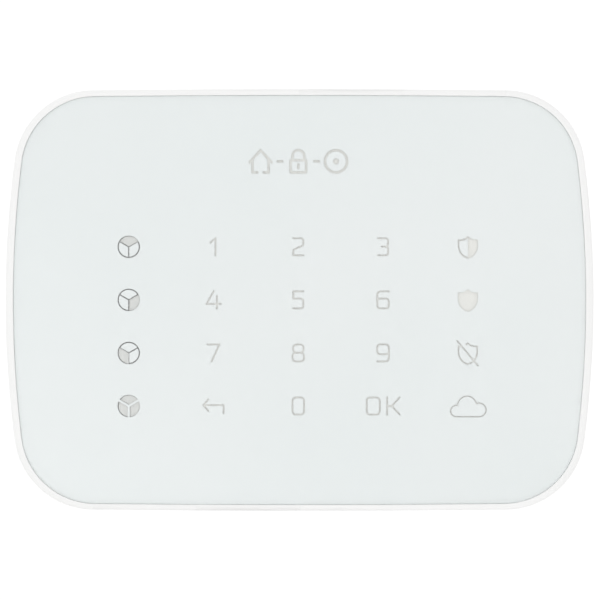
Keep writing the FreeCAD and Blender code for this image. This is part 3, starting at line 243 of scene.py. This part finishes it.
def moulded(name, colour, rough, grain=0.00025, depth=0.000006, vary=0.02):
    """Moulded plastic: a fine spark-eroded texture, faint flow clouding and uneven sheen."""
    recipe = Recipe(name)
    clouds = recipe.noise(0.02, 2.0, 0.55)
    tint = recipe.ramp(clouds, [(0.3, shade(colour, 1 - vary)), (0.7, shade(colour, 1 + vary))])
    fine = recipe.noise(grain, 2.0, 0.6)
    roughness = recipe.spread(recipe.noise(grain * 12, 3.0), rough - 0.05, rough + 0.05)
    recipe.principled(tint, roughness, recipe.bump(fine, depth))
    return recipe.material


def metal(name, colour, rough, brush=(1, 1, 12), grain=0.0004, vary=0.06):
    """Rolled or plated metal: streaks along one axis and slight tarnish."""
    recipe = Recipe(name)
    streaks = recipe.noise(grain, 3.0, 0.6, brush)
    tarnish = recipe.noise(0.003, 4.0, 0.6)
    tint = recipe.ramp(tarnish, [(0.35, shade(colour, 1 - vary)), (0.65, shade(colour, 1 + vary))])
    roughness = recipe.spread(streaks, rough - 0.07, rough + 0.1)
    recipe.principled(tint, roughness, recipe.bump(streaks, 0.000004), metallic=1.0)
    return recipe.material


# ---- materials ----------------------------------------------------------------------------------

def clear_plate():
    """Clear hard-coated plate: light passes with a faint green tint, and a clean reflection on top."""
    recipe = Recipe("clear_plate")
    thick = recipe.noise(0.05, 1.0)
    tint = recipe.ramp(thick, [(0.3, (0.988, 0.996, 0.994)), (0.7, (0.991, 0.997, 0.995))])
    passing = recipe.add("ShaderNodeBsdfTransparent")
    recipe.link(tint, passing.inputs["Color"])
    mirror = recipe.add("ShaderNodeBsdfGlossy")
    mirror.inputs["Color"].default_value = (1, 1, 1, 1)
    recipe.link(recipe.spread(recipe.noise(0.004, 4.0), 0.02, 0.06), mirror.inputs["Roughness"])
    facing = recipe.add("ShaderNodeLayerWeight")
    facing.inputs["Blend"].default_value = 0.5
    steep = recipe.add("ShaderNodeMath", operation="POWER")
    recipe.link(facing.outputs["Facing"], steep.inputs[0])
    steep.inputs[1].default_value = PLATE_REFLECTION_POWER
    mix = recipe.add("ShaderNodeMixShader")
    recipe.link(recipe.spread(steep.outputs["Value"], PLATE_REFLECTION, 1.0), mix.inputs["Fac"])
    recipe.link(passing.outputs["BSDF"], mix.inputs[1])
    recipe.link(mirror.outputs["BSDF"], mix.inputs[2])
    recipe.link(mix.outputs["Shader"], recipe.output.inputs["Surface"])
    return recipe.material


def clear_guide():
    """Clear acrylic with fine polishing haze."""
    recipe = Recipe("clear_guide")
    haze = recipe.noise(0.002, 4.0)
    colour = recipe.ramp(haze, [(0.3, (0.93, 0.95, 0.95)), (0.7, (0.97, 0.98, 0.98))])
    recipe.principled(colour, recipe.spread(haze, 0.08, 0.22), Alpha=0.55, IOR=1.49)
    return recipe.material


def white_print():
    """White screen print on film: even, with the faint mottle of a thick ink coat."""
    recipe = Recipe("white_print")
    mottle = recipe.noise(0.03, 3.0, 0.5)
    colour = recipe.ramp(mottle, [(0.3, (0.890, 0.907, 0.911)), (0.7, (0.900, 0.913, 0.918))])
    mesh = recipe.noise(0.00012, 2.0)
    recipe.principled(colour, recipe.spread(mesh, 0.5, 0.62), recipe.bump(mesh, 0.000002))
    return recipe.material


def laminate(name, mask, copper):
    """Circuit board: solder mask over a woven laminate, with bundles of fine traces under the mask."""
    recipe = Recipe(name)
    regions = recipe.add("ShaderNodeTexVoronoi", distance="CHEBYCHEV")
    regions.inputs["Scale"].default_value = 1.0 / TRACE_REGION
    recipe.link(recipe.place, regions.inputs["Vector"])
    chance = recipe.add("ShaderNodeSeparateColor")
    recipe.link(regions.outputs["Color"], chance.inputs["Color"])
    lines = []
    for direction in ("X", "Z"):
        bands = recipe.add("ShaderNodeTexWave", wave_type="BANDS", bands_direction=direction)
        bands.inputs["Scale"].default_value = WAVE_PERIOD_AT_SCALE_1 / TRACE_PITCH
        recipe.link(recipe.place, bands.inputs["Vector"])
        edge = recipe.add("ShaderNodeMapRange")
        edge.inputs["From Min"].default_value = TRACE_EDGE_START
        edge.inputs["From Max"].default_value = TRACE_EDGE_END
        recipe.link(bands.outputs["Fac"], edge.inputs["Value"])
        lines.append(edge.outputs["Result"])
    turned = recipe.add("ShaderNodeMath", operation="GREATER_THAN")
    recipe.link(chance.outputs["Red"], turned.inputs[0])
    bundle = recipe.add("ShaderNodeMix", data_type="FLOAT")
    recipe.link(turned.outputs["Value"], bundle.inputs["Factor"])
    recipe.link(lines[0], bundle.inputs["A"])
    recipe.link(lines[1], bundle.inputs["B"])
    routed = recipe.add("ShaderNodeMath", operation="GREATER_THAN")
    recipe.link(chance.outputs["Green"], routed.inputs[0])
    traces = recipe.add("ShaderNodeMath", operation="MULTIPLY")
    recipe.link(bundle.outputs["Result"], traces.inputs[0])
    recipe.link(routed.outputs["Value"], traces.inputs[1])
    weave = recipe.noise(0.0004, 2.0, 0.5, (1, 1, 3))
    base = recipe.ramp(weave, [(0.3, shade(mask, 0.85)), (0.7, shade(mask, 1.15))])
    mix = recipe.add("ShaderNodeMix", data_type="RGBA")
    recipe.link(traces.outputs["Value"], mix.inputs[0])
    recipe.link(base, mix.inputs[6])
    mix.inputs[7].default_value = (*copper, 1.0)
    recipe.principled(mix.outputs[2], 0.32, recipe.bump(traces.outputs["Value"], 0.00002))
    return recipe.material


MATERIALS = {
    "white_shell": moulded("white_shell", (0.925, 0.925, 0.920), 0.42, vary=0.006),
    "white_bracket": moulded("white_bracket", (0.86, 0.86, 0.85), 0.55, grain=0.0004, depth=0.00001),
    "clear_plate": clear_plate(),
    "white_print": white_print(),
    "adhesive": moulded("adhesive", (0.85, 0.85, 0.83), 0.8, grain=0.0003, depth=0.00003),
    "diffuser": moulded("diffuser", (0.89, 0.873, 0.844), 0.7, grain=0.00015, depth=0.000004),
    "grey_diffuser": moulded("grey_diffuser", (0.768, 0.761, 0.746), 0.7, grain=0.00015, depth=0.000004),
    "white_reflector": moulded("white_reflector", (0.88, 0.88, 0.87), 0.6),
    "clear_guide": clear_guide(),
    "board_laminate": laminate("board_laminate", (0.02, 0.16, 0.06), (0.10, 0.30, 0.12)),
    "radio_laminate": laminate("radio_laminate", (0.015, 0.05, 0.16), (0.08, 0.14, 0.30)),
    "copper": metal("copper", (0.86, 0.62, 0.30), 0.3),
    "lamp": moulded("lamp", (0.90, 0.87, 0.70), 0.2),
    "black_chip": moulded("black_chip", (0.02, 0.02, 0.022), 0.55, grain=0.0001),
    "tinned_steel": metal("tinned_steel", (0.74, 0.74, 0.72), 0.35),
    "antenna_wire": metal("antenna_wire", (0.80, 0.48, 0.20), 0.3),
    "ceramic_part": moulded("ceramic_part", (0.55, 0.38, 0.22), 0.45),
    "black_plastic": moulded("black_plastic", (0.03, 0.03, 0.033), 0.5),
    "screw_steel": metal("screw_steel", (0.66, 0.66, 0.65), 0.3, brush=(1, 1, 1)),
    "cell_wrap": moulded("cell_wrap", (0.05, 0.09, 0.14), 0.25, grain=0.0006),
    "cell_can": metal("cell_can", (0.72, 0.72, 0.71), 0.25, brush=(1, 12, 12)),
    "nickel_strip": metal("nickel_strip", (0.75, 0.73, 0.68), 0.3),
    "spring_steel": metal("spring_steel", (0.66, 0.65, 0.63), 0.3, brush=(1, 1, 1)),
    "white_acetal": moulded("white_acetal", (0.86, 0.86, 0.84), 0.4),
    "grey_button": moulded("grey_button", (0.28, 0.29, 0.30), 0.5),
}

for subpart in frame["record"]["subparts"]:
    node = NODES[subpart["node"]]
    node.data.materials.clear()
    node.data.materials.append(MATERIALS[subpart["material_slot"]])


# ---- wound wire: the coil springs and the antenna -----------------------------------------------

def coil_points(start, end, start_radius, end_radius, turns, dead_turns=0.75, per_turn=16):
    """Points of a helix from start to end; its first and last turns lie almost flat, as ground ends do."""
    axis = (end - start).normalized()
    side = axis.orthogonal().normalized()
    other = axis.cross(side)
    count = int(turns * per_turn)
    points = []
    for step in range(count + 1):
        turn = step / per_turn
        wound = min(max(turn - dead_turns, 0.0), turns - 2 * dead_turns) / (turns - 2 * dead_turns)
        share = END_SHARE * min(turn / dead_turns, 1.0) + (1 - 2 * END_SHARE) * wound
        share += END_SHARE * max(0.0, (turn - turns + dead_turns) / dead_turns)
        radius = start_radius + (end_radius - start_radius) * share
        angle = math.tau * turn
        around = side * math.cos(angle) + other * math.sin(angle)
        points.append(start + (end - start) * share + around * radius)
    return points


def wound_wire(name, routes, thickness, material, body, node):
    """A mesh of one or more round wires along the routes, which stands for a CAD node."""
    curve = bpy.data.curves.new(name, "CURVE")
    curve.dimensions = "3D"
    curve.bevel_depth = thickness / 2
    curve.bevel_resolution = 3
    curve.use_fill_caps = True
    for route in routes:
        spline = curve.splines.new("NURBS")
        spline.points.add(len(route) - 1)
        for point, place in zip(spline.points, route):
            point.co = (*place, 1.0)
        spline.order_u = 4
        spline.use_endpoint_u = True
        spline.resolution_u = 3
    shape = bpy.data.objects.new(name + "_curve", curve)
    bpy.context.scene.collection.objects.link(shape)
    bpy.context.view_layer.update()
    mesh = bpy.data.meshes.new_from_object(shape.evaluated_get(bpy.context.evaluated_depsgraph_get()))
    bpy.data.objects.remove(shape)
    for face in mesh.polygons:
        face.use_smooth = True
    mesh.materials.clear()
    mesh.materials.append(MATERIALS[material])
    piece = bpy.data.objects.new(name, mesh)
    bpy.context.scene.collection.objects.link(piece)
    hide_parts(node)
    if body:
        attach(piece, body)
    return piece


def antenna():
    """A wound coil along X, with a straight foot to the board at each end."""
    low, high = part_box("antenna_coil")
    middle_z = (low.z + high.z) / 2
    middle_y = high.y - ANTENNA_DEPTH
    start = Vector((low.x + ANTENNA_END_INSET, middle_y, middle_z))
    end = Vector((high.x - ANTENNA_END_INSET, middle_y, middle_z))
    helix = coil_points(start, end, ANTENNA_RADIUS, ANTENNA_RADIUS, ANTENNA_TURNS, dead_turns=0.5)
    foot = low.y + ANTENNA_END_INSET
    first = helix[0]
    last = helix[-1]
    route = [Vector((first.x, foot, first.z)), Vector((first.x, (foot + first.y) / 2, first.z))]
    route += helix
    route += [Vector((last.x, (foot + last.y) / 2, last.z)), Vector((last.x, foot, last.z))]
    wound_wire("antenna_winding", [route], ANTENNA_WIRE, "antenna_wire", "device", "antenna_coil")


def tamper_spring():
    """A coil between the switch and the plunger's collar."""
    low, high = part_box("tamper_spring")
    x = (low.x + high.x) / 2
    z = (low.z + high.z) / 2
    start = Vector((x, low.y + TAMPER_WIRE / 2, z))
    end = Vector((x, high.y - TAMPER_WIRE / 2, z))
    radius = (high.x - low.x) / 2 - TAMPER_WIRE / 2
    route = coil_points(start, end, radius, radius, TAMPER_TURNS)
    piece = wound_wire("tamper_coil_spring", [route], TAMPER_WIRE, "spring_steel", None, "tamper_spring")
    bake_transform(piece)


def battery_springs():
    """Conical springs, wide at the contact plate and narrow at the cell; the cells alternate."""
    low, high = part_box("battery_springs")
    routes = []
    for index in range(BATTERY_CELLS):
        cell_low, cell_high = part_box("battery_cell_%d" % (index + 1))
        z = (cell_low.z + cell_high.z) / 2
        y = (cell_low.y + cell_high.y) / 2
        if index % 2 == 0:
            plate_x = low.x + BATTERY_WIRE / 2
            cell_x = cell_low.x - BATTERY_WIRE / 2
        else:
            plate_x = high.x - BATTERY_WIRE / 2
            cell_x = cell_high.x + BATTERY_WIRE / 2
        start = Vector((plate_x, y, z))
        end = Vector((cell_x, y, z))
        routes.append(coil_points(start, end, BATTERY_PLATE_RADIUS, BATTERY_CELL_RADIUS, BATTERY_TURNS))
    wound_wire("battery_coil_springs", routes, BATTERY_WIRE, "spring_steel", "device", "battery_springs")


antenna()
tamper_spring()
battery_springs()


# ---- moulding marks: low ridges that the tool leaves on hidden faces ------------------------------

def ridge_point(along, across, share, base_y):
    """A point of a half-round ridge: share runs from 0 at one foot to 1 at the other."""
    angle = math.pi * share
    side = math.cos(angle) * RIDGE_WIDTH / 2
    lift = math.sin(angle) * RIDGE_HEIGHT
    return Vector((along.x + across.x * side, base_y + lift, along.z + across.z * side))


def ridge(mesh, path, closed, base_y, steps=6):
    """Adds a ridge along a path of points in the XZ plane; it rises towards +Y from base_y."""
    rows = []
    count = len(path)
    for index, point in enumerate(path):
        last = path[index - 1] if closed or index > 0 else point
        following = path[(index + 1) % count] if closed or index < count - 1 else point
        direction = (following - last).normalized()
        across = Vector((-direction.z, 0, direction.x))
        rows.append([
            mesh.verts.new(ridge_point(point, across, step / steps, base_y))
            for step in range(steps + 1)
        ])
    for index in range(count if closed else count - 1):
        row = rows[index]
        following = rows[(index + 1) % count]
        for step in range(steps):
            mesh.faces.new((row[step], row[step + 1], following[step + 1], following[step]))
    if not closed:
        mesh.faces.new(rows[0])
        mesh.faces.new(list(reversed(rows[-1])))


def circle_path(x, z, radius, count=64):
    points = []
    for step in range(count):
        angle = math.tau * step / count
        points.append(Vector((x + radius * math.cos(angle), 0, z + radius * math.sin(angle))))
    return points


def moulding_marks(name, body, material, base_y, pin_places, dial_place):
    """Rings round the ejector pins, and one date dial with its ticks and pointer."""
    mesh = bmesh.new()
    for x, z in pin_places:
        ridge(mesh, circle_path(x, z, PIN_RING_RADIUS), True, base_y)
    x, z = dial_place
    centre = Vector((x, 0, z))
    for radius in DIAL_RADII:
        ridge(mesh, circle_path(x, z, radius), True, base_y)
    for tick in range(DIAL_TICKS):
        angle = math.tau * tick / DIAL_TICKS
        outward = Vector((math.cos(angle), 0, math.sin(angle)))
        inner = centre + outward * TICK_INNER_RADIUS
        outer = centre + outward * TICK_OUTER_RADIUS
        ridge(mesh, [inner, outer], False, base_y)
    tail = Vector((x, 0, z + POINTER_LOW))
    tip = Vector((x, 0, z + POINTER_HIGH))
    ridge(mesh, [tail, tip], False, base_y)
    left_barb = Vector((x - POINTER_HEAD, 0, z + POINTER_HEAD))
    right_barb = Vector((x + POINTER_HEAD, 0, z + POINTER_HEAD))
    ridge(mesh, [left_barb, tip, right_barb], False, base_y)
    bmesh.ops.recalc_face_normals(mesh, faces=mesh.faces)
    data = bpy.data.meshes.new(name)
    mesh.to_mesh(data)
    mesh.free()
    for face in data.polygons:
        face.use_smooth = True
    data.materials.append(MATERIALS[material])
    piece = bpy.data.objects.new(name, data)
    bpy.context.scene.collection.objects.link(piece)
    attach(piece, body)


bracket_pins = []
for column in (-1, 1):
    for row in (-1, 1):
        bracket_pins.append((column * RELIEF_COLUMN, BRACKET_MIDDLE_Z + row * RELIEF_ROW))
bracket_dial = (BRACKET_DIAL_X, BRACKET_MIDDLE_Z)
moulding_marks("bracket_marks", "wall_base", "white_bracket", RELIEF_FLOOR, bracket_pins, bracket_dial)
shell_pins = [(x * MM, POCKET_PIN_Z) for x in POCKET_PIN_COLUMNS]
moulding_marks("shell_marks", "device", "white_shell", POCKET_FLOOR, shell_pins, POCKET_DIAL)


# ---- stage, light and camera --------------------------------------------------------------------

def world_light():
    """Plain white surroundings, brightest behind the object, with a faint glow low at the left in front."""
    world = bpy.data.worlds.new("surroundings")
    world.use_nodes = True
    tree = world.node_tree
    tree.nodes.clear()
    place = tree.nodes.new("ShaderNodeTexCoord")
    split = tree.nodes.new("ShaderNodeSeparateXYZ")
    depth = tree.nodes.new("ShaderNodeMapRange")
    depth.inputs["From Min"].default_value = -1.0
    fade = tree.nodes.new("ShaderNodeFloatCurve")
    curve = fade.mapping.curves[0]
    curve.points[0].location = (0.0, FRONT_BRIGHTNESS)
    curve.points[1].location = (1.0, BEHIND_BRIGHTNESS)
    for place_along, brightness in SURROUND_BRIGHTNESS:
        curve.points.new(place_along, brightness)
    fade.mapping.clip_max_y = CURVE_TOP
    fade.mapping.update()
    towards_glow = tree.nodes.new("ShaderNodeVectorMath")
    towards_glow.operation = "DOT_PRODUCT"
    towards_glow.inputs[1].default_value = GLOW_DIRECTION
    glow = tree.nodes.new("ShaderNodeMapRange")
    glow.interpolation_type = "SMOOTHSTEP"
    glow.inputs["From Min"].default_value = GLOW_START
    glow.inputs["From Max"].default_value = 1.0
    glow.inputs["To Max"].default_value = GLOW_STRENGTH
    strength = tree.nodes.new("ShaderNodeMath")
    back = tree.nodes.new("ShaderNodeBackground")
    out = tree.nodes.new("ShaderNodeOutputWorld")
    tree.links.new(place.outputs["Generated"], split.inputs["Vector"])
    tree.links.new(split.outputs["Y"], depth.inputs["Value"])
    tree.links.new(depth.outputs["Result"], fade.inputs["Value"])
    tree.links.new(place.outputs["Generated"], towards_glow.inputs[0])
    tree.links.new(towards_glow.outputs["Value"], glow.inputs["Value"])
    tree.links.new(fade.outputs["Value"], strength.inputs[0])
    tree.links.new(glow.outputs["Result"], strength.inputs[1])
    tree.links.new(strength.outputs["Value"], back.inputs["Strength"])
    back.inputs["Color"].default_value = (1, 1, 1, 1)
    tree.links.new(back.outputs["Background"], out.inputs["Surface"])
    bpy.context.scene.world = world


def soft_light(name, place, watts):
    """A large square lamp aimed at the middle of the front."""
    data = bpy.data.lights.new(name, "AREA")
    data.shape = "RECTANGLE"
    data.size, data.size_y = LAMP_SIZE
    data.energy = watts
    lamp = bpy.data.objects.new(name, data)
    lamp.location = place
    aim = Vector((0, LOW.y, 0)) - Vector(place)
    lamp.rotation_euler = aim.to_track_quat("-Z", "Y").to_euler()
    bpy.context.scene.collection.objects.link(lamp)


def pale_floor():
    """A wide pale floor well below the object."""
    mesh = bmesh.new()
    bmesh.ops.create_grid(mesh, x_segments=8, y_segments=8, size=FLOOR_HALF_SIZE)
    data = bpy.data.meshes.new("floor")
    mesh.to_mesh(data)
    mesh.free()
    floor = bpy.data.objects.new("floor", data)
    floor.location = (0, 0, LOW.z - FLOOR_DROP)
    bpy.context.scene.collection.objects.link(floor)
    paint = moulded("floor_paint", (0.88, 0.88, 0.875), 0.8, grain=0.002, depth=0.0001, vary=0.003)
    data.materials.append(paint)


def camera():
    """A long lens straight in front of the object, a hair to the right of its middle."""
    data = bpy.data.cameras.new("camera")
    data.lens = FOCAL_LENGTH
    data.sensor_width = SENSOR_WIDTH
    shown_width = (HIGH.x - LOW.x) / WIDTH_IN_FRAME
    distance = shown_width / 2 * data.lens / (data.sensor_width / 2)
    view = bpy.data.objects.new("camera", data)
    middle = (LOW + HIGH) / 2
    view.location = (middle.x + CAMERA_SHIFT_X, LOW.y + OUTLINE_BEHIND_FRONT - distance, middle.z)
    view.rotation_euler = (math.radians(90), 0, 0)
    data.clip_start = 0.01
    data.clip_end = 50.0
    bpy.context.scene.collection.objects.link(view)
    bpy.context.scene.camera = view


bpy.context.scene.view_settings.view_transform = "Standard"
world_light()
pale_floor()
soft_light("key", KEY_PLACE, KEY_WATTS)
soft_light("fill_from_below", FILL_PLACE, FILL_WATTS)
camera()
